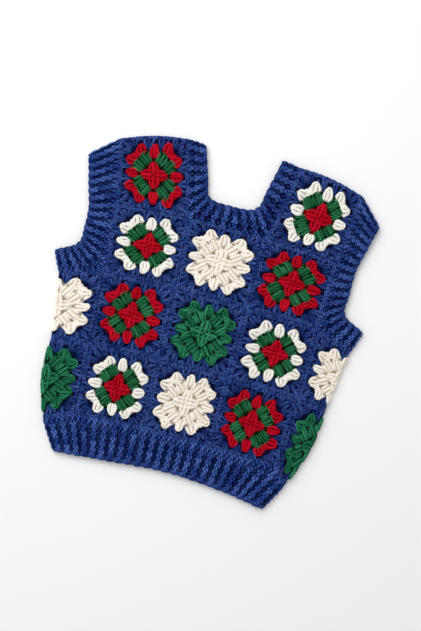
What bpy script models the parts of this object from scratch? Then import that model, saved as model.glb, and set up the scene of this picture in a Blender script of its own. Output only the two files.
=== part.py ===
"""A crocheted sweater vest of granny squares with ribbed bands, laid flat on its back, front up.

X runs to the right of the front view, Y towards the shoulders and Z up from the surface that it lies on.
Each piece is a cloth wall: an outer skin that carries the stitches' relief, and a plain inner skin.
The squares are laid out on a grid of columns u and rows v, counted in squares from the left seam of the
first column and from the top of the hem. SEAM_CORNERS says where the grid's corners lie in the real vest.
"""

import math

import bmesh
import bpy

NAME = "sweater_vest"
MM = 0.001

# Sizes in millimetres
SQUARE = 110.0
SEAM_GAP = 0.36
BACK_WALL = 3.2
INSIDE_GAP = 0.3
FRONT_WALL = 2.5
INSIDE = BACK_WALL + INSIDE_GAP / 2
FRONT_FLOOR = BACK_WALL + INSIDE_GAP
FOLD_REACH = 3.4
FOLD_HOLLOW = 0.8
SHOULDER_SEAM = 0.9
CLUSTER_RELIEF = 1.8
CLUSTER_HALF_WIDTH = 9.0
CLUSTER_CROWN = 2.25
CLUSTER_FROM = 0.3
CLUSTER_TO = 0.85
JOIN_RIDGE = 0.9
JOIN_RIDGE_WIDTH = 6.0
RIB_RELIEF = 2.4
RIB_SEAM_SHARE = 0.35
RIB_SEAM_WIDTH = 0.2
RIB_EDGE_SHARE = 0.6
RIB_EDGE_WIDTH = 0.15
SWELL_WIDE = 0.45
SWELL_NARROW = 0.35
TROUGH_DEPTH = 1.1
TROUGH_HALF_WIDTH = 9.0
TROUGH_SLOPE = 0.12
TROUGH_CENTRE = (-130.0, 170.0)
TROUGH_ENDS = (-196.0, -62.0)
TROUGH_FADE = 20.0
SIDE_BULGE = 9.0
SHOULDER_BULGE = 5.0

# A short step back from a fold, in squares or stations, that gives the direction across it
FOLD_STEP = 0.1

# How finely the skins are divided
SQUARE_CELLS = 18
POINTS_PER_RIB = 4
BAND_ROWS = 3
BAND_BACK_CELLS = 24
SPOTS_PER_STATION = 24
SIDE_INNER_STEP = 6
FOLD_ANGLES = (45.0, 90.0, 135.0)
SHOULDER_ANGLES = (45.0, 90.0)

# Corners of the squares in the laid vest: one row for each seam line across the body, from the hem's top
# (v = 0) to the shoulder (v = 4). Columns: side fold, left, between 1 and 2, between 2 and 3, right, side fold.
COLUMN_LINES = (-0.5, 0.0, 1.0, 2.0, 3.0, 3.5)
SEAM_CORNERS = (
    ((-197, -189), (-157, -171), (-50, -167), (57, -167), (163, -171), (178, -194)),
    ((-217, -67), (-161, -60), (-53, -57), (57, -57), (167, -61), (209, -66)),
    ((-231, 34), (-169, 51), (-57, 54), (56, 53), (169.5, 50), (223, 29)),
    ((-239, 140), (-177, 157), (-63, 163), (59, 163), (174, 156), (227, 139)),
    ((-255, 235), (-193, 251), (-92, 276), (80, 277), (183, 259), (236, 238)),
)

# Free edge of each band, matched to the grid line that it is worked on: u, v, x, y
HEM_EDGE = (
    (-0.5, 0.0, -170.0, -232.0),
    (0.5, 0.0, -97.0, -226.0),
    (1.5, 0.0, 2.0, -219.5),
    (2.5, 0.0, 96.0, -226.5),
    (3.5, 0.0, 154.0, -236.0),
)
NECK_EDGE = (
    (1.0, 4.0, -66.0, 273.0),
    (1.0, 3.5, -52.0, 229.0),
    (1.0, 3.0, -41.0, 199.5),
    (1.5, 3.0, -3.0, 195.5),
    (2.0, 3.0, 33.0, 201.0),
    (2.0, 3.5, 42.0, 232.0),
    (2.0, 4.0, 53.0, 280.0),
)
ARMHOLE_EDGE_LEFT = (
    (0.0, 4.0, -234.0, 216.0),
    (0.0, 3.5, -225.0, 180.0),
    (0.0, 3.0, -215.0, 144.0),
    (0.0, 2.5, -213.0, 109.0),
    (0.0, 2.0, -215.5, 83.0),
    (-0.5, 2.0, -245.0, 65.0),
)
ARMHOLE_EDGE_RIGHT = (
    (3.0, 4.0, 219.0, 221.0),
    (3.0, 3.5, 212.0, 190.0),
    (3.0, 3.0, 203.0, 152.0),
    (3.0, 2.5, 202.0, 110.0),
    (3.0, 2.0, 203.0, 80.0),
    (3.5, 2.0, 234.0, 62.0),
)
HEM_RIBS = 29
NECK_RIBS = 26
ARMHOLE_RIBS = 20

# Clusters of stitches in one corner of a square, turned into the other three:
# base x, base y, tip x, tip y, in millimetres from the centre of the square
CLUSTERS = (
    (0.0, 4.0, 0.0, 20.0),
    (12.0, 12.0, 11.0, 33.0),
    (12.0, 12.0, 33.0, 11.0),
    (0.0, 25.0, 0.0, 46.0),
    (24.0, 24.0, 25.0, 45.0),
    (24.0, 24.0, 45.0, 25.0),
)

# Colours of the yarns, and the one that stands for each kind of square
BLUE = (0.016, 0.052, 0.30, 1.0)
RED = (0.60, 0.006, 0.016, 1.0)
GREEN = (0.008, 0.19, 0.075, 1.0)
CREAM = (0.84, 0.78, 0.70, 1.0)
KIND_COLOURS = {"red_edged": RED, "cream_edged": CREAM, "cream": CREAM, "green": GREEN}

# Kind of each front square: row counted from the shoulder, then columns 1 to 3
FRONT_KINDS = (
    ("red_edged", None, "cream_edged"),
    ("cream_edged", "cream", "red_edged"),
    ("red_edged", "green", "cream_edged"),
    ("cream_edged", "cream", "red_edged"),
)
SIDE_KINDS = {2: "cream", 3: "green"}
ROWS = len(FRONT_KINDS)


def smooth_step(x):
    x = min(max(x, 0.0), 1.0)
    return x * x * (3 - 2 * x)


def mix(a, b, part):
    return a + (b - a) * part


def cell(lines, value):
    """The cell of a line of knots that holds a value, and how far into it the value lies."""
    index = sum(value >= line for line in lines[1:-1])
    return index, (value - lines[index]) / (lines[index + 1] - lines[index])


def grid_point(u, v):
    """Where a point of the squares' grid lies in the laid vest."""
    column, across = cell(COLUMN_LINES, u)
    row, up = cell(range(len(SEAM_CORNERS)), v)
    low, high = SEAM_CORNERS[row], SEAM_CORNERS[row + 1]
    x, y = (
        mix(mix(low[column][k], low[column + 1][k], across),
            mix(high[column][k], high[column + 1][k], across), up)
        for k in (0, 1)
    )
    past_seam = max(-u, u - 3.0, 0.0) / 0.5
    if v < 1.0:
        x += math.copysign(SIDE_BULGE * past_seam * math.sin(math.pi * max(v, 0.0)), u)
    if v > 3.0:
        y += SHOULDER_BULGE * (v - 3.0) * math.sin(math.pi * across)
    return x, y


def step_past(point, before, reach):
    """A point moved on by reach, away from the point before it."""
    dx, dy = point[0] - before[0], point[1] - before[1]
    length = math.hypot(dx, dy)
    return point[0] + dx / length * reach, point[1] + dy / length * reach


def curve_value(values, at):
    """A smooth curve through evenly spaced values."""
    last = len(values) - 1
    index = min(int(at), last - 1)
    t = at - index
    p1, p2 = values[index], values[index + 1]
    p0 = values[index - 1] if index > 0 else 2 * p1 - p2
    p3 = values[index + 2] if index + 2 <= last else 2 * p2 - p1
    return 0.5 * (2 * p1 + (p2 - p0) * t + (2 * p0 - 5 * p1 + 4 * p2 - p3) * t * t
                  + (3 * p1 - p0 - 3 * p2 + p3) * t ** 3)


def band_point(edge, at, across):
    """A point of a band: at counts its stations, across goes from the grid line to the free edge."""
    index = min(int(at), len(edge) - 2)
    part = at - index
    seam = grid_point(*(mix(edge[index][k], edge[index + 1][k], part) for k in (0, 1)))
    free = [curve_value([station[k] for station in edge], at) for k in (2, 3)]
    return mix(seam[0], free[0], across), mix(seam[1], free[1], across)


def even_spots(edge, count):
    """Places along a band, counted in stations, that cut its middle line into equal lengths."""
    marks = [k / SPOTS_PER_STATION for k in range(SPOTS_PER_STATION * (len(edge) - 1) + 1)]
    points = [band_point(edge, mark, 0.5) for mark in marks]
    lengths = [0.0]
    for before, after in zip(points, points[1:]):
        lengths.append(lengths[-1] + math.dist(before, after))
    spots = []
    k = 0
    for i in range(count + 1):
        wanted = lengths[-1] * i / count
        while k < len(marks) - 2 and lengths[k + 1] < wanted:
            k += 1
        spots.append(mix(marks[k], marks[k + 1], (wanted - lengths[k]) / (lengths[k + 1] - lengths[k])))
    return spots


def cloth_wave(x, y):
    """Soft rise and fall of the upper layer where it lies, with the trough across the left strap."""
    swell = SWELL_WIDE * math.sin(x / 52 + 0.8) * math.cos(y / 66 - 0.5)
    swell += SWELL_NARROW * math.sin(y / 43 + x / 95)
    from_ends = min(x - TROUGH_ENDS[0], TROUGH_ENDS[1] - x)
    from_line = y - TROUGH_CENTRE[1] - TROUGH_SLOPE * (x - TROUGH_CENTRE[0])
    trough = TROUGH_DEPTH * math.exp(-((from_line / TROUGH_HALF_WIDTH) ** 2))
    return swell - trough * smooth_step(from_ends / TROUGH_FADE)


def cluster_height(p, q):
    """Relief of the stitch clusters of a square, p and q in millimetres from its centre."""
    best = 0.0
    for base_x, base_y, tip_x, tip_y in CLUSTERS:
        for turn in range(4):
            bx, by, tx, ty = base_x, base_y, tip_x, tip_y
            for _ in range(turn):
                bx, by, tx, ty = -by, bx, -ty, tx
            dx, dy = tx - bx, ty - by
            part = ((p - bx) * dx + (q - by) * dy) / (dx * dx + dy * dy)
            part = min(max(part, CLUSTER_FROM), CLUSTER_TO)
            distance = math.hypot(p - bx - part * dx, q - by - part * dy)
            best = max(best, smooth_step(1 - (distance - CLUSTER_CROWN) / CLUSTER_HALF_WIDTH))
    return CLUSTER_RELIEF * best


def square_top(u, v, u_centre, v_centre):
    """Height of the upper skin of a square."""
    p, q = (u - u_centre) * SQUARE, (v - v_centre) * SQUARE
    to_seam = SQUARE / 2 - max(abs(p), abs(q))
    ridge = JOIN_RIDGE * smooth_step(1 - to_seam / JOIN_RIDGE_WIDTH)
    return FRONT_FLOOR + FRONT_WALL + max(cluster_height(p, q), ridge) + cloth_wave(*grid_point(u, v))


def band_top(edge, rib_turn, at, across):
    """Height of the upper skin of a band. Its ribs run across it, from the seam to the free edge."""
    rib = 0.5 - 0.5 * math.cos(2 * math.pi * rib_turn)
    rise = mix(RIB_SEAM_SHARE, 1.0, smooth_step(across / RIB_SEAM_WIDTH))
    rise *= mix(RIB_EDGE_SHARE, 1.0, smooth_step((1 - across) / RIB_EDGE_WIDTH))
    return FRONT_FLOOR + FRONT_WALL + RIB_RELIEF * rib * rise + cloth_wave(*band_point(edge, at, across))


def index_slab(columns, rows, inner="strips", inner_step=0):
    """A slab in counting space. Its top is the outer skin and its underside the inner skin, whose cells are
    joined to strips, cut every inner_step rows, or to one face, with straight sides where inner is plain."""
    mesh = bmesh.new()
    bmesh.ops.create_grid(mesh, x_segments=columns, y_segments=rows, size=0.5)
    for vertex in mesh.verts:
        vertex.co.x = round((vertex.co.x + 0.5) * columns)
        vertex.co.y = round((vertex.co.y + 0.5) * rows)
    lower = bmesh.ops.extrude_face_region(mesh, geom=mesh.faces[:], use_keep_orig=True)["geom"]
    for vertex in (item for item in lower if isinstance(item, bmesh.types.BMVert)):
        vertex.co.z = -1.0

    def is_spare(edge):
        a, b = (vertex.co for vertex in edge.verts)
        if a.z != b.z:
            at_corner = a.x in (0, columns) and a.y in (0, rows)
            return inner == "plain" and not at_corner
        if a.z > -0.5:
            return False
        along_row = a.y == b.y and 0 < a.y < rows and not (inner_step and a.y % inner_step == 0)
        along_column = a.x == b.x and 0 < a.x < columns
        return along_row or (along_column and inner != "strips")

    spare = [edge for edge in mesh.edges if is_spare(edge)]
    if spare:
        bmesh.ops.dissolve_edges(mesh, edges=spare, use_verts=inner != "face")
    return mesh


def make_object(name, mesh, place, colour, closed_columns=None):
    """Turns a slab in counting space into a piece: place gives each vertex its point in millimetres."""
    if closed_columns:
        ends = [face for face in mesh.faces
                if all(vertex.co.x == 0 for vertex in face.verts)
                or all(vertex.co.x == closed_columns for vertex in face.verts)]
        bmesh.ops.delete(mesh, geom=ends, context="FACES")
    points = [place(int(vertex.co.x), int(vertex.co.y), vertex.co.z > -0.5) for vertex in mesh.verts]
    middle = [(min(values) + max(values)) / 2 for values in zip(*points)]
    for vertex, point in zip(mesh.verts, points):
        vertex.co = [(value - centre) * MM for value, centre in zip(point, middle)]
    if closed_columns:
        bmesh.ops.remove_doubles(mesh, verts=mesh.verts[:], dist=0.01 * MM)
    bmesh.ops.triangulate(mesh, faces=mesh.faces[:])
    bmesh.ops.recalc_face_normals(mesh, faces=mesh.faces[:])
    data = bpy.data.meshes.new(name)
    mesh.to_mesh(data)
    mesh.free()
    data.shade_smooth()
    data.set_sharp_from_angle(angle=math.radians(50))
    piece = bpy.data.objects.new(name, data)
    piece.location = [value * MM for value in middle]
    piece.data.materials.append(yarn(name, colour))
    pieces.objects.link(piece)
    piece.parent = garment
    return piece


def yarn(name, colour):
    material = bpy.data.materials.new(name)
    material.use_nodes = True
    shader = material.node_tree.nodes["Principled BSDF"]
    shader.inputs["Base Color"].default_value = colour
    shader.inputs["Roughness"].default_value = 0.9
    shader.inputs["Metallic"].default_value = 0.0
    return material


def square_lines(low, high, cells):
    """Grid values of the lines of a square, kept clear of the seams on both sides."""
    inset = SEAM_GAP / 2 / SQUARE
    return [mix(low + inset, high - inset, i / cells) for i in range(cells + 1)]


def panel_square(name, column, row, kind, is_front):
    """A square of the front or of the back. At the shoulder it bends down, or up, to meet its twin."""
    v_low = ROWS - 1 - row
    at_shoulder = row == 0
    cells = SQUARE_CELLS if is_front else (6 if at_shoulder else 1)
    row_cells = SQUARE_CELLS if is_front else 1
    us = square_lines(column - 1, column, cells)
    vs = square_lines(v_low, v_low + 1, row_cells)
    if at_shoulder:
        vs[-1] = v_low + 1
    bends = SHOULDER_ANGLES if at_shoulder else ()

    def place(i, j, is_outer):
        u, v = us[i], vs[min(j, row_cells)]
        point = grid_point(u, v)
        angle = math.radians(bends[j - row_cells - 1]) if j > row_cells else 0.0
        if angle:
            point = step_past(point, grid_point(u, v - FOLD_STEP), FOLD_REACH * math.sin(angle))
        if is_front:
            lip = FRONT_FLOOR + SHOULDER_SEAM
            top = square_top(u, v, column - 0.5, v_low + 0.5)
            height = mix(lip, top, math.cos(angle)) if is_outer else FRONT_FLOOR
        else:
            height = (BACK_WALL - SHOULDER_SEAM) * (1 - math.cos(angle)) if is_outer else BACK_WALL
        return (*point, height)

    slab = index_slab(cells, row_cells + len(bends), inner="face" if at_shoulder else "plain")
    return make_object(name, slab, place, KIND_COLOURS[kind])


def fold_turn(angle, top):
    """Outer and inner point of a side fold at an angle from the top: reach past the fold line and height."""
    turn = math.radians(angle)
    outer = FOLD_REACH * math.sin(turn), top * (1 + math.cos(turn)) / 2
    inner = FOLD_HOLLOW * math.sin(turn), INSIDE + INSIDE_GAP / 2 * math.cos(turn)
    return outer, inner


def side_square(name, row, kind, is_left):
    """A square folded in half at the side: half on the front, half under it on the back."""
    v_low = ROWS - 1 - row
    seam_u, fold_u = (0.0, -0.5) if is_left else (3.0, 3.5)
    away = -1 if is_left else 1
    inset = SEAM_GAP / 2 / SQUARE
    half_cells = SQUARE_CELLS // 2
    front = [mix(seam_u + away * inset, fold_u, i / half_cells) for i in range(half_cells + 1)]
    stations = [("front", u, 0.0) for u in front]
    stations += [("fold", fold_u, angle) for angle in FOLD_ANGLES]
    stations += [("back", u, 180.0) for u in (fold_u, seam_u + away * inset)]
    vs = square_lines(v_low, v_low + 1, SQUARE_CELLS)

    def place(i, j, is_outer):
        where, u, angle = stations[i]
        v = vs[j]
        point = grid_point(u, v)
        if where == "back":
            return (*point, 0.0 if is_outer else BACK_WALL)
        top = square_top(u, v, fold_u, v_low + 0.5)
        if where == "front":
            return (*point, top if is_outer else FRONT_FLOOR)
        outer, inner = fold_turn(angle, top)
        reach, height = outer if is_outer else inner
        return (*step_past(point, grid_point(fold_u - away * FOLD_STEP, v), reach), height)

    slab = index_slab(len(stations) - 1, SQUARE_CELLS, inner_step=SIDE_INNER_STEP)
    return make_object(name, slab, place, KIND_COLOURS[kind])


def ribbed_band(name, edge, ribs):
    """A ribbed band worked in the round and folded flat, front on back, at both ends of its length."""
    end = len(edge) - 1
    front = even_spots(edge, ribs * POINTS_PER_RIB)
    back = even_spots(edge, BAND_BACK_CELLS)
    stations = [(at, i / POINTS_PER_RIB, 0.0) for i, at in enumerate(front)]
    stations += [(end, 0.0, angle) for angle in FOLD_ANGLES]
    stations += [(at, 0.0, 180.0) for at in reversed(back)]
    stations += [(0.0, 0.0, -angle) for angle in reversed(FOLD_ANGLES)]
    stations.append(stations[0])
    band_width = math.dist(band_point(edge, end / 2, 0.0), band_point(edge, end / 2, 1.0))
    inset = SEAM_GAP / 2 / band_width
    crossings = [mix(inset, 1.0, smooth_step(j / BAND_ROWS)) for j in range(BAND_ROWS + 1)]

    def place(i, j, is_outer):
        at, rib_turn, angle = stations[i]
        across = crossings[j]
        point = band_point(edge, at, across)
        if angle == 180.0:
            return (*point, 0.0 if is_outer else BACK_WALL)
        top = band_top(edge, rib_turn, at, across)
        if angle == 0.0:
            return (*point, top if is_outer else FRONT_FLOOR)
        outer, inner = fold_turn(abs(angle), top)
        reach, height = outer if is_outer else inner
        before = band_point(edge, abs(at - FOLD_STEP), across)
        return (*step_past(point, before, reach), height)

    slab = index_slab(len(stations) - 1, BAND_ROWS)
    return make_object(name, slab, place, BLUE, closed_columns=len(stations) - 1)


def centre_garment():
    """Puts the middle of the vest's outline over the origin."""
    bpy.context.view_layer.update()
    corners = [piece.matrix_world @ vertex.co for piece in pieces.objects for vertex in piece.data.vertices]
    for axis in (0, 1):
        values = [corner[axis] for corner in corners]
        garment.location[axis] = -(min(values) + max(values)) / 2


for old in list(bpy.data.objects):
    bpy.data.objects.remove(old, do_unlink=True)
pieces = bpy.data.collections.new(NAME)
bpy.context.scene.collection.children.link(pieces)
garment = bpy.data.objects.new(f"{NAME}_centre", None)
bpy.context.scene.collection.objects.link(garment)

for row_number, kinds in enumerate(FRONT_KINDS):
    for column_number, square_kind in enumerate(kinds, start=1):
        if square_kind:
            place_name = f"square_r{row_number}_c{column_number}"
            panel_square(f"front_{place_name}", column_number, row_number, square_kind, True)
            panel_square(f"back_{place_name}", column_number, row_number, square_kind, False)
for row_number, square_kind in SIDE_KINDS.items():
    side_square(f"side_square_r{row_number}_left", row_number, square_kind, True)
    side_square(f"side_square_r{row_number}_right", row_number, square_kind, False)
ribbed_band("hem_band", HEM_EDGE, HEM_RIBS)
ribbed_band("neck_band", NECK_EDGE, NECK_RIBS)
ribbed_band("armhole_band_left", ARMHOLE_EDGE_LEFT, ARMHOLE_RIBS)
ribbed_band("armhole_band_right", ARMHOLE_EDGE_RIGHT, ARMHOLE_RIBS)
centre_garment()
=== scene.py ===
"""Looks of a crocheted granny-square sweater vest that lies flat on its back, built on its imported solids."""

import math

import bpy
import numpy as np
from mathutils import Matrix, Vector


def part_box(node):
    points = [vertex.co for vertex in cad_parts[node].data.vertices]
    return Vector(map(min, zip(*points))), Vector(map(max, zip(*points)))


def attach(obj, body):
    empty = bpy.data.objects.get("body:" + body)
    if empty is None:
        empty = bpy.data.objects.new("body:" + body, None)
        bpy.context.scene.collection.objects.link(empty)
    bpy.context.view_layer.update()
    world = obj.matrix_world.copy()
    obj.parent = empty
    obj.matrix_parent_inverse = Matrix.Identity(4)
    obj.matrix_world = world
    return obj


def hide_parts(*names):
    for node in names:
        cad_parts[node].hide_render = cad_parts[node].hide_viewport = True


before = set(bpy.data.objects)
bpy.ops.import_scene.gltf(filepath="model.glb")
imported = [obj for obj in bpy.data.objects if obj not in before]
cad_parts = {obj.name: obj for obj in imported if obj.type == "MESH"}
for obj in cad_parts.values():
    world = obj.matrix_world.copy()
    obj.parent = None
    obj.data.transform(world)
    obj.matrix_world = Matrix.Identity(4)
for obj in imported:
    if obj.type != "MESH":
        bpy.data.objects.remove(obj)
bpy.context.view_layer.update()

# Camera
# The vest is seen from straight above and a little turned. The height of the picture on the floor and the
# point under its middle follow from the width of the squares in it.
PICTURE_HEIGHT = 0.964
PICTURE_CENTRE = (0.0116, 0.0043)
PICTURE_TURN = math.radians(14.8)
CAMERA_HEIGHT = 2.6

camera_data = bpy.data.cameras.new("camera")
camera_data.lens = camera_data.sensor_width * CAMERA_HEIGHT / PICTURE_HEIGHT
camera = bpy.data.objects.new("camera", camera_data)
camera.location = (*PICTURE_CENTRE, CAMERA_HEIGHT)
camera.rotation_euler = (0.0, 0.0, PICTURE_TURN)
bpy.context.scene.collection.objects.link(camera)
bpy.context.scene.camera = camera

# Floor and studio light
# A plain white table top under a wide soft lamp at the upper left of the picture, with even light from all
# round, so the shadows are short and soft.
FLOOR_SIZE = 8.0
FLOOR_DROP = 0.0003
FLOOR_WHITE = (0.93, 0.93, 0.93, 1.0)
FLOOR_ROUGHNESS = 0.8
LAMP_SIZE = 1.9
LAMP_POWER = 30.0
LAMP_PLACE = (-1.1, 1.0, 1.5)
AROUND_WHITE = (1.0, 1.0, 1.0, 1.0)
AROUND_LIGHT = 0.65

bpy.ops.mesh.primitive_plane_add(size=FLOOR_SIZE, location=(0.0, 0.0, -FLOOR_DROP))
floor = bpy.context.object
floor.name = "floor"
floor_paint = bpy.data.materials.new("white_table_top")
floor_paint.use_nodes = True
floor_shader = floor_paint.node_tree.nodes["Principled BSDF"]
floor_shader.inputs["Base Color"].default_value = FLOOR_WHITE
floor_shader.inputs["Roughness"].default_value = FLOOR_ROUGHNESS
floor.data.materials.append(floor_paint)

lamp_data = bpy.data.lights.new("soft_lamp", "AREA")
lamp_data.shape = "DISK"
lamp_data.size = LAMP_SIZE
lamp_data.energy = LAMP_POWER
lamp = bpy.data.objects.new("soft_lamp", lamp_data)
lamp.location = LAMP_PLACE
lamp.rotation_euler = (-lamp.location).to_track_quat("-Z", "Y").to_euler()
bpy.context.scene.collection.objects.link(lamp)
world = bpy.data.worlds.new("even_light")
world.use_nodes = True
background = world.node_tree.nodes["Background"]
background.inputs["Color"].default_value = AROUND_WHITE
background.inputs["Strength"].default_value = AROUND_LIGHT
bpy.context.scene.world = world
bpy.context.scene.view_settings.view_transform = "Standard"

# Back panel
# Eleven granny squares, each crocheted from the middle out in four rounds of thick wool and joined edge to
# edge. The panel lies under the front with its stitches to the floor, pressed flat there.
MM = 0.001
SQUARE = 110.0
HALF = SQUARE / 2
SEAM_GAP = 0.36
ROWS = 4
COLUMNS = 3
SIDE_REACH = 0.5

# Corners of the squares as the vest lies, in millimetres: one row for each seam line from the top of the hem
# (v = 0) to the shoulder (v = 4), one corner for each column line u
COLUMN_LINES = np.array((-SIDE_REACH, 0.0, 1.0, 2.0, COLUMNS, COLUMNS + SIDE_REACH))
SEAM_CORNERS = np.array((
    ((-197, -189), (-157, -171), (-50, -167), (57, -167), (163, -171), (178, -194)),
    ((-217, -67), (-161, -60), (-53, -57), (57, -57), (167, -61), (209, -66)),
    ((-231, 34), (-169, 51), (-57, 54), (56, 53), (169.5, 50), (223, 29)),
    ((-239, 140), (-177, 157), (-63, 163), (59, 163), (174, 156), (227, 139)),
    ((-255, 235), (-193, 251), (-92, 276), (80, 277), (183, 259), (236, 238)),
), float)
SIDE_BULGE = 9.0
SHOULDER_BULGE = 5.0


def grid_point(u, v):
    """Where a point of the squares' grid lies, in millimetres."""
    column = np.clip(np.searchsorted(COLUMN_LINES, u, side="right") - 1, 0, len(COLUMN_LINES) - 2)
    across = (u - COLUMN_LINES[column]) / (COLUMN_LINES[column + 1] - COLUMN_LINES[column])
    row = np.clip(np.floor(v).astype(int), 0, ROWS - 1)
    up = (v - row)[..., None]
    side = across[..., None]
    low = SEAM_CORNERS[row, column] * (1 - side) + SEAM_CORNERS[row, column + 1] * side
    high = SEAM_CORNERS[row + 1, column] * (1 - side) + SEAM_CORNERS[row + 1, column + 1] * side
    x, y = np.moveaxis(low * (1 - up) + high * up, -1, 0)
    past_seam = np.maximum(np.maximum(-u, u - COLUMNS), 0.0) / SIDE_REACH
    x = x + np.copysign(SIDE_BULGE * past_seam * np.sin(np.pi * np.clip(v, 0.0, 1.0)), u)
    y = y + SHOULDER_BULGE * np.maximum(v - (ROWS - 1), 0.0) * np.sin(np.pi * across)
    return x, y


# The frame's origin is the middle of the outline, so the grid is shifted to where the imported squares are
inset = SEAM_GAP / 2 / SQUARE
middle_lines = np.array([1 + inset, 2 - inset])
middle_square = grid_point(np.tile(middle_lines, 2), np.repeat(middle_lines, 2))
SHIFT = [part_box("front_square_r2_c2")[0][axis] / MM - middle_square[axis].min() for axis in (0, 1)]

# Heights in the laid cloth, in millimetres: two layers, rounded over at the folds. A stitch of the upper
# layer keeps at least LEAST_LOFT of its height where a wave would press it into the lower one.
BACK_TOP = 3.2
FRONT_FLOOR = 3.5
MIDDLE = 3.35
BACK_PRESS = 0.68
LEAST_LOFT = 0.35
FOLD_HOLLOW = 0.8
FOLD_SWELL = 0.62
TURN_IN = 5.3
FOLD_STEP = 0.1

# Waves of the upper layer, in millimetres: their height, and how far along x and y a radian of them goes
SWELL = 0.45
SWELL_LENGTHS = (52.0, 66.0)
SWELL_STARTS = (0.8, -0.5)
RIPPLE = 0.35
RIPPLE_LENGTHS = (95.0, 43.0)

# A fold has sunk in across the left strap, from one x to another, along a line that climbs a little
STRAP_FOLD_DEPTH = 1.1
STRAP_FOLD_HALF = 9.0
STRAP_FOLD_POINT = (-130.0, 170.0)
STRAP_FOLD_SLOPE = 0.12
STRAP_FOLD_ENDS = (-196.0, -62.0)
STRAP_FOLD_FADE = 20.0


def smooth(x):
    """Climbs from 0 to 1 with soft ends."""
    x = np.clip(x, 0.0, 1.0)
    return x * x * (3 - 2 * x)


def cloth_wave(x, y):
    """Soft rise and fall of the upper layer, with the sunken fold across the left strap."""
    swell = SWELL * np.sin(x / SWELL_LENGTHS[0] + SWELL_STARTS[0])
    swell = swell * np.cos(y / SWELL_LENGTHS[1] + SWELL_STARTS[1])
    ripple = RIPPLE * np.sin(y / RIPPLE_LENGTHS[1] + x / RIPPLE_LENGTHS[0])
    from_line = y - STRAP_FOLD_POINT[1] - STRAP_FOLD_SLOPE * (x - STRAP_FOLD_POINT[0])
    from_end = np.minimum(x - STRAP_FOLD_ENDS[0], STRAP_FOLD_ENDS[1] - x)
    sunk = np.exp(-((from_line / STRAP_FOLD_HALF) ** 2)) * smooth(from_end / STRAP_FOLD_FADE)
    return swell + ripple - STRAP_FOLD_DEPTH * sunk


def lay(x, y, h, turn, outward):
    """Points of the laid cloth in metres, h millimetres out from its inside. turn is 0 on the upper layer,
    half a circle on the lower one and between them round a fold, which faces outward."""
    upper = np.maximum(FRONT_FLOOR + h + cloth_wave(x, y), FRONT_FLOOR + LEAST_LOFT * h)
    lower = np.maximum(BACK_TOP - BACK_PRESS * h, 0.0)
    rise = np.where(np.cos(turn) > 0, upper - MIDDLE, MIDDLE - lower)
    reach = (FOLD_HOLLOW + FOLD_SWELL * h) * np.abs(np.sin(turn))
    x = x + outward[0] * reach + SHIFT[0]
    y = y + outward[1] * reach + SHIFT[1]
    return np.stack((x, y, MIDDLE + rise * np.cos(turn)), axis=-1) * MM


# The shortest step that still has a direction, in millimetres
SHORTEST_STEP = 1e-9


def direction(end, start):
    """The way from one point to another, as a step of length 1."""
    step = np.array(end) - np.array(start)
    return step / np.maximum(np.hypot(*step), SHORTEST_STEP)


# How the stitches of a square wander across it and up it, though the seams hold them. Each way has a slow
# wave and a quick one: its height and a radian of it in millimetres, and its share of the square's slack.
SWAYS = (((1.3, 19.0, 1.0), (0.6, 11.0, 2.0)),
         ((1.3, 21.0, 1.7), (0.6, 12.0, 1.0)))
SEAM_HOLD = 4
SHOULDER_BEND = 88.0


def sway(waves, places, slack):
    """How far the stitches at some places wander."""
    return sum(height * np.sin(place / radian + share * slack)
               for (height, radian, share), place in zip(waves, places))


def looseness(along):
    """1 in the middle of a square, falling to 0 at the seams that hold it."""
    return 1 - (np.abs(along) / HALF).clip(0, 1) ** SEAM_HOLD


def lay_square(flat, spot):
    """Lays points of a flat square where it is worn: p to its right, q up and h out of the cloth."""
    p, q, h = np.moveaxis(flat, -1, 0)
    loose = looseness(p) * looseness(q)
    drift_p = spot["drift"][0] + sway(SWAYS[0], (q, p), spot["slack"])
    drift_q = spot["drift"][1] + sway(SWAYS[1], (p, q), spot["slack"])
    p, q = p + loose * drift_p, q + loose * drift_q
    v = spot["v_low"] + (q + HALF) / SQUARE
    if spot["lies"] in ("left", "right"):
        is_left = spot["lies"] == "left"
        seam_u, fold_u = (0.0, -SIDE_REACH) if is_left else (COLUMNS, COLUMNS + SIDE_REACH)
        over = p if is_left else -p
        u = fold_u + (seam_u - fold_u) * ((np.abs(over) - TURN_IN) / (HALF - TURN_IN)).clip(0, 1)
        turn = np.radians(90.0 - 90.0 * (over / TURN_IN).clip(-1, 1))
        edge = np.full_like(v, fold_u)
        step_in = math.copysign(FOLD_STEP, seam_u - fold_u)
        outward = direction(grid_point(edge, v), grid_point(edge + step_in, v))
    else:
        facing = 1 if spot["lies"] == "front" else -1
        u = spot["column"] - 0.5 + facing * p / SQUARE
        around = np.zeros_like(q)
        if spot["v_low"] == ROWS - 1:
            flat_to = HALF - TURN_IN
            v = spot["v_low"] + ((q + HALF) / (flat_to + HALF)).clip(0, 1)
            around = np.radians(SHOULDER_BEND * ((q - flat_to) / TURN_IN).clip(0, 1))
        turn = around if facing == 1 else np.pi - around
        outward = direction(grid_point(u, v), grid_point(u, v - FOLD_STEP))
    return lay(*grid_point(u, v), h, turn, outward)


def add_node(tree, kind, inputs=None, **settings):
    """Adds a node. inputs are numbers, or sockets to link from, by the socket's name or place."""
    made = tree.nodes.new(kind)
    for name, value in settings.items():
        setattr(made, name, value)
    for name, value in (inputs or {}).items():
        socket = made.inputs[name] if isinstance(name, int) else next(
            s for s in made.inputs if s.enabled and s.name == name)
        if isinstance(value, bpy.types.NodeSocket):
            tree.links.new(value, socket)
        else:
            socket.default_value = value
    return made


def result(made, name=None):
    """The live output of a node."""
    return next(s for s in made.outputs if s.enabled and name in (None, s.name))


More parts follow.
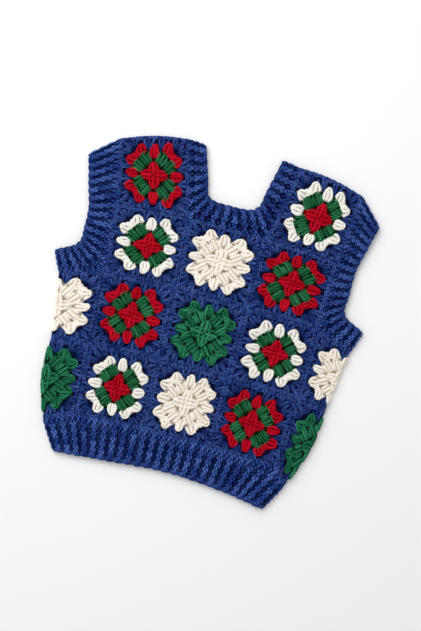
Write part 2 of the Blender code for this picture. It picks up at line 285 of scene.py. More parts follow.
def maths(tree, operation, *values):
    """A sum, product or the like of numbers and sockets."""
    return result(add_node(tree, "ShaderNodeMath", dict(enumerate(values)), operation=operation))


def kept_value(tree, name, output="Fac"):
    """A value that a piece keeps on its points, for its material."""
    return result(add_node(tree, "ShaderNodeAttribute", attribute_name=name), output)


def noise(tree, scale, detail, roughness):
    """Noise that stays with the piece, because it is measured in the piece's own metres."""
    place = result(add_node(tree, "ShaderNodeTexCoord"), "Object")
    return result(add_node(tree, "ShaderNodeTexNoise", {
        "Vector": place, "Scale": scale, "Detail": detail, "Roughness": roughness}), "Fac")


# The wool. One ply follows the next every PLY_PITCH millimetres. The shade runs from dark at 0 to light at 1
# and is a sum of shares: the ply share is painted shade in the grooves between the plies, and the fibre,
# patch and tint shares are the wool's own uneven tone. Noise is given by its waves in a metre, its detail
# and its roughness.
PLY_PITCH = 4.4
SHADE_START = -0.85
PLY_SHARE = 1.1
FIBRE_SHARE = 0.6
PATCH_SHARE = 0.35
TINT_SHARE = 0.35
FIBRE_NOISE = (2200.0, 3.0, 0.7)
PATCH_NOISE = (60.0, 2.0, 0.5)
FIBRE_RELIEF = 0.7
PLY_DEPTH = 0.0009
WOOL_SHINE = 0.03
WOOL_ROUGHNESS = 0.95


def finish_shader(tree, colour, height, relief, depth, shine):
    """Gives a material its colour and its relief. Wool scatters the light and hardly shines."""
    shader = tree.nodes["Principled BSDF"]
    bump = add_node(tree, "ShaderNodeBump", {"Height": height, "Strength": relief, "Distance": depth})
    tree.links.new(colour, shader.inputs["Base Color"])
    tree.links.new(bump.outputs[0], shader.inputs["Normal"])
    shader.inputs["Roughness"].default_value = WOOL_ROUGHNESS
    shader.inputs["Specular IOR Level"].default_value = shine


def wool(name, light, dark, deep, relief):
    """Matte plied wool: plies twisted round the strand with painted shade in their grooves, fibre fuzz, a tint
    that differs by stitch, painted deep shade on the yarn low down between the stitches, and the painted shade
    kept on it round the open spaces."""
    material = bpy.data.materials.new(name)
    material.use_nodes = True
    tree = material.node_tree
    ring = add_node(tree, "ShaderNodeSeparateXYZ", {0: kept_value(tree, "ring", "Vector")})
    angle = maths(tree, "ARCTAN2", ring.outputs[0], ring.outputs[1])
    twist = maths(tree, "MULTIPLY_ADD", kept_value(tree, "along"), math.pi / PLY_PITCH, angle)
    ply = maths(tree, "ABSOLUTE", maths(tree, "SINE", twist))
    fibres = noise(tree, *FIBRE_NOISE)
    patches = noise(tree, *PATCH_NOISE)
    tint = kept_value(tree, "tint")
    # Painted shade: the ply share darkens the grooves between the plies; fibres, patches and tint are the
    # wool's own uneven tone
    shade = maths(tree, "MULTIPLY_ADD", ply, PLY_SHARE, SHADE_START)
    for part, share in ((fibres, FIBRE_SHARE), (patches, PATCH_SHARE), (tint, TINT_SHARE)):
        shade = maths(tree, "MULTIPLY_ADD", part, share, shade)
    mixed = add_node(tree, "ShaderNodeMix", {0: shade, 6: dark, 7: light},
                     data_type="RGBA", clamp_factor=True)
    # Painted shade: the yarn low in the cloth takes the deep tone, and the lit value darkens it round the open
    # spaces
    opened = add_node(tree, "ShaderNodeMix", {
        0: kept_value(tree, "open"), 6: deep, 7: mixed.outputs[2]}, data_type="RGBA")
    toned = add_node(tree, "ShaderNodeVectorMath", {
        0: opened.outputs[2], "Scale": kept_value(tree, "lit")}, operation="SCALE")
    surface = maths(tree, "MULTIPLY_ADD", fibres, FIBRE_RELIEF, ply)
    finish_shader(tree, toned.outputs[0], surface, relief, PLY_DEPTH, WOOL_SHINE)
    return material


BLUE, RED, GREEN, CREAM, LEAF, WHITE = range(6)
# Each yarn's light and dark tones are mixed by the painted shade of its ply grooves and by its own uneven
# tone. Its deep tone is painted shade, which the yarn takes on low down between the stitches.
LIGHT_SHADES = ((0.092, 0.175, 0.53, 1.0), (0.72, 0.010, 0.034, 1.0), (0.058, 0.40, 0.20, 1.0),
                (1.0, 0.95, 0.87, 1.0), (0.05, 0.295, 0.13, 1.0), (0.98, 0.96, 0.91, 1.0))
DARK_SHADES = ((0.0025, 0.018, 0.145, 1.0), (0.45, 0.0016, 0.012, 1.0), (0.006, 0.105, 0.042, 1.0),
               (0.95, 0.89, 0.79, 1.0), (0.007, 0.085, 0.028, 1.0), (0.92, 0.89, 0.83, 1.0))
DEEP_SHADES = ((0.0003, 0.005, 0.045, 1.0), (0.22, 0.0005, 0.004, 1.0), (0.0006, 0.035, 0.013, 1.0),
               (0.90, 0.83, 0.72, 1.0), (0.0008, 0.025, 0.008, 1.0), (0.80, 0.76, 0.69, 1.0))
YARN_NAMES = ("blue_wool", "red_wool", "green_wool", "cream_wool", "leaf_green_wool", "white_wool")
PLY_RELIEFS = (0.9, 0.8, 0.9, 0.35, 0.8, 0.35)
YARNS = [wool(*facts) for facts in zip(YARN_NAMES, LIGHT_SHADES, DARK_SHADES, DEEP_SHADES, PLY_RELIEFS)]

# Painted shade of the cloth under the stitches, which shows between them: by yarn, its colour darkened, and a
# darker painted shade in the gaps beside the clusters, in the open spaces and in the valleys of the bands
GROUND_SHADES = ((0.0004, 0.004, 0.042), (0.26, 0.001, 0.004), (0.002, 0.055, 0.022), (0.84, 0.75, 0.62),
                 (0.002, 0.042, 0.015), (0.80, 0.76, 0.69))
GAP_SHADE = (0.0003, 0.0028, 0.028)
GAP_SHADES = {"red_edged": (0.004, 0.008, 0.005), "cream_edged": (0.004, 0.008, 0.005),
              "cream": (0.45, 0.38, 0.27), "green": (0.001, 0.018, 0.007)}
DEPTH_NOISE = (420.0, 4.0, 0.6)
DEPTH_FIBRE_SHARE = 1.2
DEPTH_FIBRE_START = 0.4
DEPTH_RELIEF = 0.7
DEPTH_BUMP = 0.001
DEPTH_SHINE = 0.1


def ground_cloth():
    """The cloth under the stitches: its painted shade, the yarn's colour darkened, is kept on its points and
    broken up by fine fibre.
    """
    material = bpy.data.materials.new("cloth_depth_painted_shade")
    material.use_nodes = True
    tree = material.node_tree
    strands = noise(tree, *DEPTH_NOISE)
    strength = maths(tree, "MULTIPLY_ADD", strands, DEPTH_FIBRE_SHARE, DEPTH_FIBRE_START)
    toned = add_node(tree, "ShaderNodeVectorMath", {
        0: kept_value(tree, "ground", "Color"), "Scale": strength}, operation="SCALE")
    finish_shader(tree, toned.outputs[0], strands, DEPTH_RELIEF, DEPTH_BUMP, DEPTH_SHINE)
    return material


GROUND = ground_cloth()


def cloth_shell(name, outer, inner, shades, is_tube=False):
    """A closed thin wall between two grids of points. A tube's first and last columns are the same line."""
    rows, columns = outer.shape[:2]
    wide = columns - 1 if is_tube else columns
    number = (np.arange(columns) % wide)[None, :] + wide * np.arange(rows)[:, None]
    a, b, c, d = number[:-1, :-1], number[:-1, 1:], number[1:, 1:], number[1:, :-1]
    top = np.stack((a, b, c, d), axis=-1).reshape(-1, 4)
    count = rows * wide
    rim = [(number[0, 1:], number[0, :-1]), (number[-1, :-1], number[-1, 1:])]
    if not is_tube:
        rim += [(number[:-1, 0], number[1:, 0]), (number[1:, -1], number[:-1, -1])]
    faces = [top, top[:, ::-1] + count]
    faces += [np.stack((start, end, end + count, start + count), axis=-1) for start, end in rim]
    mesh = bpy.data.meshes.new(name)
    points = np.concatenate((outer[:, :wide].reshape(-1, 3), inner[:, :wide].reshape(-1, 3)))
    mesh.from_pydata(points.tolist(), [], np.concatenate(faces).tolist())
    # The wall's painted shade, kept on its points for its material
    tone = np.concatenate((shades[:, :wide].reshape(-1, 3),) * 2)
    tone = np.concatenate((tone, np.ones((len(tone), 1))), axis=1)
    mesh.attributes.new("ground", "FLOAT_COLOR", "POINT").data.foreach_set("color", tone.ravel())
    mesh.materials.append(GROUND)
    return finish_piece(name, mesh)


def finish_piece(name, mesh):
    """Makes the object, turned face out, and puts it on the vest's one body."""
    mesh.shade_smooth()
    points = np.empty(len(mesh.vertices) * 3)
    mesh.vertices.foreach_get("co", points)
    points = points.reshape(-1, 3)
    mesh.calc_loop_triangles()
    corners = np.empty(len(mesh.loop_triangles) * 3, int)
    mesh.loop_triangles.foreach_get("vertices", corners)
    a, b, c = (points[corners.reshape(-1, 3)[:, k]] for k in range(3))
    if np.einsum("ij,ij->i", a, np.cross(b, c)).sum() < 0:
        mesh.flip_normals()
    piece = bpy.data.objects.new(name, mesh)
    bpy.context.scene.collection.objects.link(piece)
    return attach(piece, "root")


def yarn_path(name, routes):
    """A stitch as the paths of its strands, in millimetres, for the nodes to turn into yarn."""
    curve = bpy.data.curves.new(name, "CURVE")
    curve.dimensions = "3D"
    for route in routes:
        spline = curve.splines.new("POLY")
        spline.points.add(len(route) - 1)
        for point, place in zip(spline.points, route):
            point.co = (*place, 1.0)
    path = bpy.data.objects.new(name, curve)
    path.hide_render = True
    bpy.context.scene.collection.objects.link(path)
    return path


def stitch_tree(name, kinds):
    """Nodes that work one stitch on every point of a plan, kind by kind, and give each its yarn."""
    tree = bpy.data.node_groups.new(name, "GeometryNodeTree")
    face = tree.interface
    face.new_socket("Geometry", in_out="OUTPUT", socket_type="NodeSocketGeometry")
    face.new_socket("Geometry", in_out="INPUT", socket_type="NodeSocketGeometry")
    for kind in kinds:
        face.new_socket(kind, in_out="INPUT", socket_type="NodeSocketObject")
    for size in ("Strand thickness", "Turn unevenness", "Length unevenness"):
        face.new_socket(size, in_out="INPUT", socket_type="NodeSocketFloat")
    for count in ("Strand sides", "Seed"):
        face.new_socket(count, in_out="INPUT", socket_type="NodeSocketInt")
    given = add_node(tree, "NodeGroupInput").outputs

    def kept(attribute, data_type="FLOAT"):
        named = add_node(tree, "GeometryNodeInputNamedAttribute", {"Name": attribute}, data_type=data_type)
        return result(named, "Attribute")

    def store(geometry, attribute, value, domain="POINT", data_type="FLOAT"):
        return result(add_node(tree, "GeometryNodeStoreNamedAttribute", {
            "Geometry": geometry, "Name": attribute, "Value": value}, data_type=data_type, domain=domain))

    def chance(spread, shift):
        low = maths(tree, "MULTIPLY", spread, -1.0)
        seed = maths(tree, "ADD", given["Seed"], shift)
        return result(add_node(tree, "FunctionNodeRandomValue", {"Min": low, "Max": spread, "Seed": seed},
                               data_type="FLOAT"))

    def is_equal(attribute, number):
        return result(add_node(tree, "FunctionNodeCompare", {"A": kept(attribute, "INT"), "B": number},
                               data_type="INT", operation="EQUAL"))

    radius = maths(tree, "MULTIPLY", given["Strand thickness"], 0.5)
    section = result(add_node(tree, "GeometryNodeCurvePrimitiveCircle", {
        "Resolution": given["Strand sides"], "Radius": radius}))
    section = store(section, "ring", result(add_node(tree, "GeometryNodeInputPosition")),
                    data_type="FLOAT_VECTOR")
    points = result(add_node(tree, "GeometryNodeMeshToPoints", {"Mesh": given["Geometry"]}))
    turned = maths(tree, "ADD", kept("turn"), chance(given["Turn unevenness"], 0))
    aim = add_node(tree, "ShaderNodeCombineXYZ", {"X": kept("tilt"), "Z": turned})
    aim = result(add_node(tree, "FunctionNodeEulerToRotation", {0: result(aim)}))
    stretch = maths(tree, "ADD", 1.0, chance(given["Length unevenness"], 1))
    length = maths(tree, "MULTIPLY", kept("reach"), stretch)
    size = result(add_node(tree, "ShaderNodeCombineXYZ", {"X": kept("spread"), "Y": length, "Z": 1.0}))
    joined = add_node(tree, "GeometryNodeJoinGeometry")
    for number, kind in enumerate(kinds):
        path = result(add_node(tree, "GeometryNodeObjectInfo", {"Object": given[kind]}), "Geometry")
        path = store(path, "along", result(add_node(tree, "GeometryNodeSplineParameter"), "Length"))
        strand = result(add_node(tree, "GeometryNodeCurveToMesh", {
            "Curve": path, "Profile Curve": section, "Fill Caps": True}))
        worked = add_node(tree, "GeometryNodeInstanceOnPoints", {
            "Points": points, "Selection": is_equal("kind", number), "Instance": strand,
            "Rotation": aim, "Scale": size})
        tree.links.new(result(worked), joined.inputs[0])
    tinted = store(result(joined), "tint", chance(1.0, 2), domain="INSTANCE")
    geometry = result(add_node(tree, "GeometryNodeRealizeInstances", {"Geometry": tinted}))
    for number, yarn in enumerate(YARNS):
        geometry = result(add_node(tree, "GeometryNodeSetMaterial", {
            "Geometry": geometry, "Selection": is_equal("yarn", number), "Material": yarn}))
    tree.links.new(geometry, add_node(tree, "NodeGroupOutput").inputs[0])
    return tree


# Heights in the cloth, in millimetres, between which the yarn goes from its painted deep shade to its full
# tone
SHADE_FROM = 1.6
SHADE_TO = 5.0


def work_stitches(name, plan, tree, sizes, lay_points, part_yarn_and_shade=None):
    """Works a plan of stitches with the nodes, lays the yarn where the cloth lies, and returns its piece."""
    columns = {key: np.array([row[key] for row in plan], float) for key in plan[0]}
    mesh = bpy.data.meshes.new(name)
    mesh.vertices.add(len(plan))
    places = np.stack([columns.pop(key) for key in "pqh"], axis=-1)
    mesh.vertices.foreach_set("co", places.ravel())
    for key, values in columns.items():
        data_type, kind = ("INT", int) if key in ("kind", "yarn") else ("FLOAT", float)
        mesh.attributes.new(key, data_type, "POINT").data.foreach_set("value", values.astype(kind))
    planned = bpy.data.objects.new(f"{name}_plan", mesh)
    bpy.context.scene.collection.objects.link(planned)
    nodes = planned.modifiers.new("stitches", "NODES")
    nodes.node_group = tree
    for socket in tree.interface.items_tree:
        if socket.in_out == "INPUT" and socket.name in sizes:
            nodes[socket.identifier] = sizes[socket.name]
    graph = bpy.context.evaluated_depsgraph_get()
    worked = bpy.data.meshes.new_from_object(planned.evaluated_get(graph), preserve_all_data_layers=True,
                                             depsgraph=graph)
    planned.modifiers.clear()
    bpy.data.objects.remove(planned)
    for key in columns:
        if key in worked.attributes:
            worked.attributes.remove(worked.attributes[key])
    points = np.empty(len(worked.vertices) * 3)
    worked.vertices.foreach_get("co", points)
    points = points.reshape(-1, 3)
    # Painted shade round the open spaces, kept as how lit the yarn is: 1 where none is painted
    lit = part_yarn_and_shade(points) if part_yarn_and_shade else np.ones(len(points))
    worked.attributes.new("lit", "FLOAT", "POINT").data.foreach_set("value", lit)
    # Painted shade by height: yarn low in the cloth takes its deep tone, yarn high up its full tone
    open_share = ((points[:, 2] - SHADE_FROM) / (SHADE_TO - SHADE_FROM)).clip(0, 1)
    worked.attributes.new("open", "FLOAT", "POINT").data.foreach_set("value", open_share)
    worked.vertices.foreach_set("co", lay_points(points).ravel())
    worked.update()
    worked.name = name
    return finish_piece(name, worked)


def stitch(p, q, h, turn, tilt=0.0, reach=1.0, spread=1.0, kind=0, yarn=BLUE):
    """A row of a plan: where a stitch starts, how it is turned, tilted, drawn out and widened, its kind and
    its yarn."""
    return {"p": p, "q": q, "h": h, "turn": turn, "tilt": tilt, "reach": reach, "spread": spread,
            "kind": kind, "yarn": yarn}


# A double crochet: its post is two strands of the yarn twisted round each other. They start and end tucked
# into the cloth.
POST_LENGTH = 20.0
POST_TWIST = 4.8
POST_REACH = 1.4
POST_RISE = 0.85
POST_BOW = 2.0
POST_ARCH = 0.7
TUCKED_BASE = 0.5
TUCKED_TIP = 0.8
TUCK_SLOPE = 3.0
TUCK_DEPTH = 1.6
FINE_STEPS = 11
PLAIN_STEPS = 4


def post_strand(start_angle, steps, bow, arch):
    """One of the two strands of a post. A post at the side of a cluster bows out and up."""
    route = []
    for k in range(steps + 1):
        part = k / steps
        angle = start_angle + math.pi * part * POST_LENGTH / POST_TWIST
        full = min(1.0, TUCKED_BASE + TUCK_SLOPE * part, TUCKED_TIP + TUCK_SLOPE * (1 - part))
        swell = math.sin(math.pi * part)
        x = bow * swell + POST_REACH * full * math.cos(angle)
        z = full * POST_RISE * (1 + math.sin(angle)) - TUCK_DEPTH * (1 - full) + arch * swell
        route.append((x, POST_LENGTH * part, z))
    return route


def post_paths(name, steps):
    """The paths of a straight post and of the two that bow out at the sides of a cluster."""
    ways = (("straight", 0.0, 0.0), ("bowed_left", -POST_BOW, POST_ARCH),
            ("bowed_right", POST_BOW, POST_ARCH))
    return [yarn_path(f"{name}_{way}", [post_strand(angle, steps, bow, arch) for angle in (0.0, math.pi)])
            for way, bow, arch in ways]


def round_over(half, top):
    """A strand that climbs on the left, passes over the top and comes down the same way on the right."""
    return [(-x, y, z) for x, y, z in half] + [top] + list(reversed(half))


# Each cluster is closed by the strand that runs through its heads. In the first round it reaches further
# down the sides and draws the cluster to a point.
HEAD_WIDTH = 5.2
HEAD = round_over(((4.9, -7.5, -1.1), (5.2, -4.3, 0.2), (4.3, -1.4, 0.9), (2.4, 0.6, 1.1)),
                  (0.0, 1.2, 1.1))
POINT = round_over(((6.6, -13.5, -0.9), (6.0, -9.0, 0.1), (4.3, -4.6, 0.6), (2.2, -1.3, 0.8)),
                   (0.0, 0.3, 0.8))

# A chain loop of an edge. Its tip sits in the start of the next one, which lies CHAIN_LENGTH further on.
CHAIN_LENGTH = 6.1
CHAIN = [[(side * 0.3, 0.0, 0.0), (side * 1.6, 2.3, 0.6), (side * 1.5, 4.8, 0.5), (side * 0.5, 7.0, -0.1)]
         for side in (1, -1)]

fine_posts = post_paths("double_crochet", FINE_STEPS)
plain_posts = post_paths("pressed_double_crochet", PLAIN_STEPS)
head_stitch = yarn_path("heads_of_a_cluster", [HEAD])
point_stitch = yarn_path("heads_of_the_first_round", [POINT])
chain_stitch = yarn_path("chain_loop", CHAIN)
POST, HEADS, POINT_HEADS, EDGE, BOWED_LEFT, BOWED_RIGHT = range(6)
square_tree = stitch_tree("granny_square", ("Post", "Head", "Point", "Chain", "Bowed left", "Bowed right"))

# Clusters on one quarter of a square, worked again for the other three. The columns are the round, the
# direction in degrees of the axis that they stand beside, how far out and aside the base is and then the
# tip, how far apart the stitches stand at the base and at the tip, and their number. A cluster that stands
# aside has a twin across the axis.
CLUSTERS = (
    (0, 90.0, 1.5, 0.0, 20.4, 0.0, 6.2, 4.2, 3),
    (1, 45.0, 16.5, 7.2, 33.6, 8.9, 4.4, 5.8, 3),
    (2, 90.0, 25.0, 0.0, 42.4, 0.0, 3.4, 3.3, 3),
    (2, 45.0, 34.4, 7.2, 45.8, 13.6, 4.6, 4.3, 3),
    (3, 90.0, 35.4, 11.0, 50.0, 12.2, 1.5, 7.7, 3),
    (3, 45.0, 50.0, 5.5, 61.2, 9.8, 2.2, 8.0, 3),
    (3, 45.0, 52.5, 0.0, 70.0, 0.0, 0.0, 5.2, 1),
)

# By round: how much shorter the outer stitches of a cluster are, how high its base and its tip lie, and how
# much wider its base is in a square of one colour, where the clusters run together
DRAW_BACKS = (5.5, 0.8, 1.8, 0.0)
BASE_HEIGHTS = (2.7, 2.1, 2.1, 0.6)
TIP_HEIGHTS = (2.7, 3.1, 3.8, 2.3)
SOLID_BASES = (1.0, 1.35, 2.0, 1.0)
SHORT_OF_HEAD = 0.4
MIDDLE_LIFT = 0.4

# By round, but for the last: the kind of the strand through the heads, its length and its added width
HEAD_SIZES = ((POINT_HEADS, 1.0, 0.6), (HEADS, 0.6, 1.2), (HEADS, 0.8, 1.0))

# How unevenly the clusters are placed and fanned by hand. A base slips less than a tip.
CLUSTER_SLIP = 0.7
BASE_SLIP = 0.5
FAN_SPREAD = 0.06

# The chains that close the last round along the seams, and the short ones that join the two clusters at a
# corner of the third round: how far out and how high
EDGE_CHAINS = 18
EDGE_LINE = 51.9
EDGE_HEIGHT = 2.75
EDGE_SWAY = 0.24
EDGE_CORNER_IN = 2.0
CORNER_CHAINS = ((37.6, 2.9), (42.2, 3.1))
CORNER_CHAIN_REACH = 0.9
CORNER_CHAIN_SPREAD = 1.3

# Yarn of each round, by the kind of square
KIND_YARNS = {"red_edged": (RED, LEAF, RED, BLUE), "cream_edged": (RED, LEAF, WHITE, BLUE),
              "cream": (CREAM, CREAM, CREAM, BLUE), "green": (GREEN, GREEN, GREEN, BLUE)}


def from_axis(axis, out, aside):
    """The place that lies so far out along an axis, given in degrees, and so far aside of it."""
    cosine, sine = math.cos(math.radians(axis)), math.sin(math.radians(axis))
    return np.array((out * cosine - aside * sine, out * sine + aside * cosine))


def quarter_turned(x, y, times):
    """A place turned round the centre by a number of quarter circles."""
    for _ in range(times):
        x, y = -y, x
    return x, y


def is_solid(kind):
    """Whether a square is of one colour inside its border."""
    return KIND_YARNS[kind][1] == KIND_YARNS[kind][2]


def clusters(kind, seed):
    """Every cluster of a square: its round, base, tip, fans at both and number of stitches. The hand that
    worked them was never quite even."""
    hand_worked = np.random.default_rng(seed)
    made = []
    for corner in range(4):
        for (round_number, axis, base_out, base_aside, tip_out, tip_aside,
             base_fan, tip_fan, count) in CLUSTERS:
            wider = SOLID_BASES[round_number] if is_solid(kind) else 1.0
            for hand in ((1, -1) if base_aside else (1,)):
                slip = hand_worked.normal(0.0, CLUSTER_SLIP, 2)
                fan_share = hand_worked.normal(1.0, FAN_SPREAD)
                base = from_axis(axis + 90.0 * corner, base_out, hand * base_aside) + BASE_SLIP * slip
                tip = from_axis(axis + 90.0 * corner, tip_out, hand * tip_aside) + slip
                made.append((round_number, base, tip, base_fan * wider, tip_fan * fan_share, count))
    return made


# The open spaces that the next round is worked into: direction of their axis, how far out and how far aside.
# The yarn round them parts and dips, and painted shade darkens it there.
HOLES = ((90.0, 22.4, 0.0), (45.0, 14.6, 0.0), (45.0, 32.0, 0.0), (90.0, 32.8, 11.6), (90.0, 32.8, -11.6),
         (45.0, 46.8, 0.0))
HOLE_PLACES = [from_axis(axis + 90.0 * corner, out, aside)
               for axis, out, aside in HOLES for corner in range(4)]
HOLE_SIZE = 4.2
HOLE_OPENING = 1.7
HOLE_CENTRE = 0.05
HOLE_SHADE = 0.8
HOLE_STEEPNESS = 1.6
HOLE_SHADE_RIM = 0.45
DIMPLE_DEPTH = 2.6
DIMPLE_STEEPNESS = 1.3


def near_hole(p, q):
    """1 in the middle of the open spaces, falling to 0 at their rim."""
    return np.max([1 - np.hypot(p - x, q - y) / HOLE_SIZE for x, y in HOLE_PLACES], axis=0).clip(0, 1)


def open_spaces(points):
    """Parts the yarn round the open spaces and lets it dip there. Returns how much light is left on it by the
    shade painted there.
    """
    nearness = near_hole(points[:, 0], points[:, 1])
    dip = smooth(DIMPLE_STEEPNESS * nearness)
    left = 1 - HOLE_SHADE * smooth(HOLE_STEEPNESS * nearness - HOLE_SHADE_RIM)
    for x, y in HOLE_PLACES:
        away = points[:, :2] - (x, y)
        far = np.hypot(*away.T).clip(HOLE_CENTRE)
        parted = np.sqrt(far ** 2 + (HOLE_OPENING * smooth(1 - far / HOLE_SIZE)) ** 2)
        points[:, :2] += away * (parted / far - 1)[:, None]
    points[:, 2] -= DIMPLE_DEPTH * dip
    return left


def square_plan(kind, worked):
    """Every stitch of a granny square, flat, in millimetres from its centre."""
    plan = []
    # By round, whether the outer stitches of a cluster bow out
    bows_out = (True, False, not is_solid(kind), False)
    for round_number, base, tip, base_fan, tip_fan, count in worked:
        yarn = KIND_YARNS[kind][round_number]
        low, high = BASE_HEIGHTS[round_number], TIP_HEIGHTS[round_number]
        along = direction(tip, base)
        beside = np.array((-along[1], along[0]))
        for k in range(count):
            aside = k - (count - 1) / 2
            short = SHORT_OF_HEAD + abs(aside) * DRAW_BACKS[round_number]
            start = base + aside * base_fan * beside
            end = tip + aside * tip_fan * beside - short * along
            length = math.dist(start, end)
            turn = math.atan2(end[1] - start[1], end[0] - start[0]) - math.pi / 2
            bowed = (BOWED_RIGHT, POST, BOWED_LEFT)[round(aside) + 1]
            plan.append(stitch(*start, low + MIDDLE_LIFT * (1 - abs(aside)), turn,
                               math.atan2(high - low, length), reach=length / POST_LENGTH,
                               kind=bowed if bows_out[round_number] else POST, yarn=yarn))
        if round_number < len(HEAD_SIZES):
            head_kind, head_reach, wider = HEAD_SIZES[round_number]
            plan.append(stitch(*tip, high, math.atan2(along[1], along[0]) - math.pi / 2, reach=head_reach,
                               spread=(tip_fan + wider) / HEAD_WIDTH, kind=head_kind, yarn=yarn))
    step = 2 * EDGE_LINE / EDGE_CHAINS
    for side in range(4):
        for k in range(EDGE_CHAINS):
            x, y = quarter_turned(-EDGE_LINE + k * step, EDGE_LINE, side)
            lean = EDGE_SWAY if k % 2 else -EDGE_SWAY
            plan.append(stitch(x, y, EDGE_HEIGHT, (side - 1) * math.pi / 2 + lean,
                               reach=step / CHAIN_LENGTH, kind=EDGE))
        for out, height in CORNER_CHAINS:
            for hand in (-1, 1):
                x, y = quarter_turned(out / math.sqrt(2), out / math.sqrt(2), side)
                plan.append(stitch(x, y, height, (side - 0.5 + hand) * math.pi / 2, reach=CORNER_CHAIN_REACH,
                                   spread=CORNER_CHAIN_SPREAD, kind=EDGE, yarn=KIND_YARNS[kind][2]))
        x, y = quarter_turned(EDGE_LINE - EDGE_CORNER_IN, EDGE_LINE - EDGE_CORNER_IN, side)
        plan.append(stitch(x, y, EDGE_HEIGHT, (side - 0.5) * math.pi / 2, kind=EDGE))
    return plan


# The cloth under the stitches, in millimetres: a mound under each cluster, whose height and reach of the
# yarn's painted shade go by its round. The middle is a disc of the first yarn's painted shade, and from
# BORDER_FROM outwards the painted shade of the gaps turns to the border's dark blue one.
GROUND_HEIGHT = 1.0
MOUND_HEIGHTS = (2.4, 2.2, 2.5, 1.6)
CLUSTER_HALF = 7.0
CLUSTER_CROWN = 2.2
CLUSTER_SPAN = (0.3, 0.8)
TONE_REACHES = (7.0, 7.5, 5.6, 7.0)
TONE_FADE = 1.8
MIDDLE_DISC = 9.0
MIDDLE_FADE = 5.0
BORDER_FROM = 34.0
BORDER_FADE = 10.0


def square_ground(p, q, kind, worked):
    """Height and painted shade of the cloth under the stitches: a mound under each cluster, and painted dark
    shade in the gap beside it and in the open spaces.
    """
    from_centre = np.hypot(p, q)
    inner_gap = np.array(GAP_SHADES[kind])
    in_border = smooth((from_centre - BORDER_FROM) / BORDER_FADE)[..., None]
    gap = inner_gap + (np.array(GAP_SHADE) - inner_gap) * in_border
    best = smooth((MIDDLE_DISC - from_centre) / MIDDLE_FADE)
    shade = gap + (np.array(GROUND_SHADES[KIND_YARNS[kind][0]]) - gap) * best[..., None]
    mound = np.full_like(best, MOUND_HEIGHTS[0])
    for round_number, base, tip, *_rest in worked:
        dx, dy = tip[0] - base[0], tip[1] - base[1]
        part = (((p - base[0]) * dx + (q - base[1]) * dy) / (dx * dx + dy * dy)).clip(*CLUSTER_SPAN)
        far = np.hypot(p - base[0] - part * dx, q - base[1] - part * dy)
        cover = smooth(1 - (far - CLUSTER_CROWN) / CLUSTER_HALF)
        nearer = cover > best
        tone = np.array(GROUND_SHADES[KIND_YARNS[kind][round_number]])
        covered = gap + (tone - gap) * smooth((TONE_REACHES[round_number] - far) / TONE_FADE)[..., None]
        shade[nearer] = covered[nearer]
        mound[nearer] = MOUND_HEIGHTS[round_number]
        best = np.maximum(best, cover)
    # The open spaces sink away and take the painted gap shade
    pit = smooth(HOLE_STEEPNESS * near_hole(p, q))
    best = best * (1 - pit)
    shade = shade + (gap - shade) * pit[..., None]
    return GROUND_HEIGHT + mound * best, shade


# Lines of the cloth across a square, and those added round a side fold and at the bend of a shoulder
FINE_LINES = 41
PLAIN_LINES = 23
SIDE_FOLD_LINES = 9
SHOULDER_LINES = 5
SEEDS_IN_SLACK = 100
SQUARE_STRANDS = {"Strand thickness": 3.35, "Strand sides": 4, "Turn unevenness": 0.09,
                  "Length unevenness": 0.05}


def with_lines(lines, start, end, count):
    """Lines of a grid with more of them between two places."""
    return np.unique(np.round(np.concatenate((lines, np.linspace(start, end, count))), 3))


def granny_square(node, spot, kind, rests_on, is_fine):
    """One square: its thin cloth and the stitches worked on it."""
    reach = HALF - SEAM_GAP / 2
    across = np.linspace(-reach, reach, FINE_LINES if is_fine else PLAIN_LINES)
    upward = across
    if spot["lies"] in ("left", "right"):
        across = with_lines(across, -TURN_IN, TURN_IN, SIDE_FOLD_LINES)
    if spot["v_low"] == ROWS - 1:
        upward = with_lines(upward, HALF - TURN_IN, reach, SHOULDER_LINES)
    p, q = np.meshgrid(across, upward)
    seed = int(spot["slack"] * SEEDS_IN_SLACK)
    worked = clusters(kind, seed)
    height, shades = square_ground(p, q, kind, worked)
    cloth = cloth_shell(f"{node}_cloth", lay_square(np.stack((p, q, height), axis=-1), spot),
                        lay_square(np.stack((p, q, np.zeros_like(p)), axis=-1), spot), shades)
    posts = fine_posts if is_fine else plain_posts
    sizes = {"Post": posts[0], "Bowed left": posts[1], "Bowed right": posts[2], "Head": head_stitch,
             "Point": point_stitch, "Chain": chain_stitch, "Seed": seed, **SQUARE_STRANDS}
    yarn = work_stitches(f"{node}_stitches", square_plan(kind, worked), square_tree, sizes,
                         lambda points: lay_square(points, spot), open_spaces)
    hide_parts(node)


# Kind of each square: a row from the shoulder down, then columns 1 to 3. The neckline takes one's place.
PANEL_KINDS = (
    ("red_edged", None, "cream_edged"),
    ("cream_edged", "cream", "red_edged"),
    ("red_edged", "green", "cream_edged"),
    ("cream_edged", "cream", "red_edged"),
)

# How far the middle of each front square has slipped from the middle of its four corners, in millimetres
FRONT_DRIFTS = {(0, 1): (-1.0, -3.2), (0, 3): (3.0, -3.5), (1, 1): (3.2, -0.5), (1, 2): (0.1, 1.4),
                (1, 3): (-2.5, 0.5), (2, 1): (0.2, -0.6), (2, 2): (2.1, 1.1), (2, 3): (2.7, -0.6),
                (3, 1): (2.7, -1.6), (3, 2): (-0.1, 0.9), (3, 3): (-2.8, -2.3)}
NO_DRIFT = (0.0, 0.0)
FIRST_SLACK = 1.0
SLACK_BY_ROW = 0.83
SLACK_BY_COLUMN = 1.91


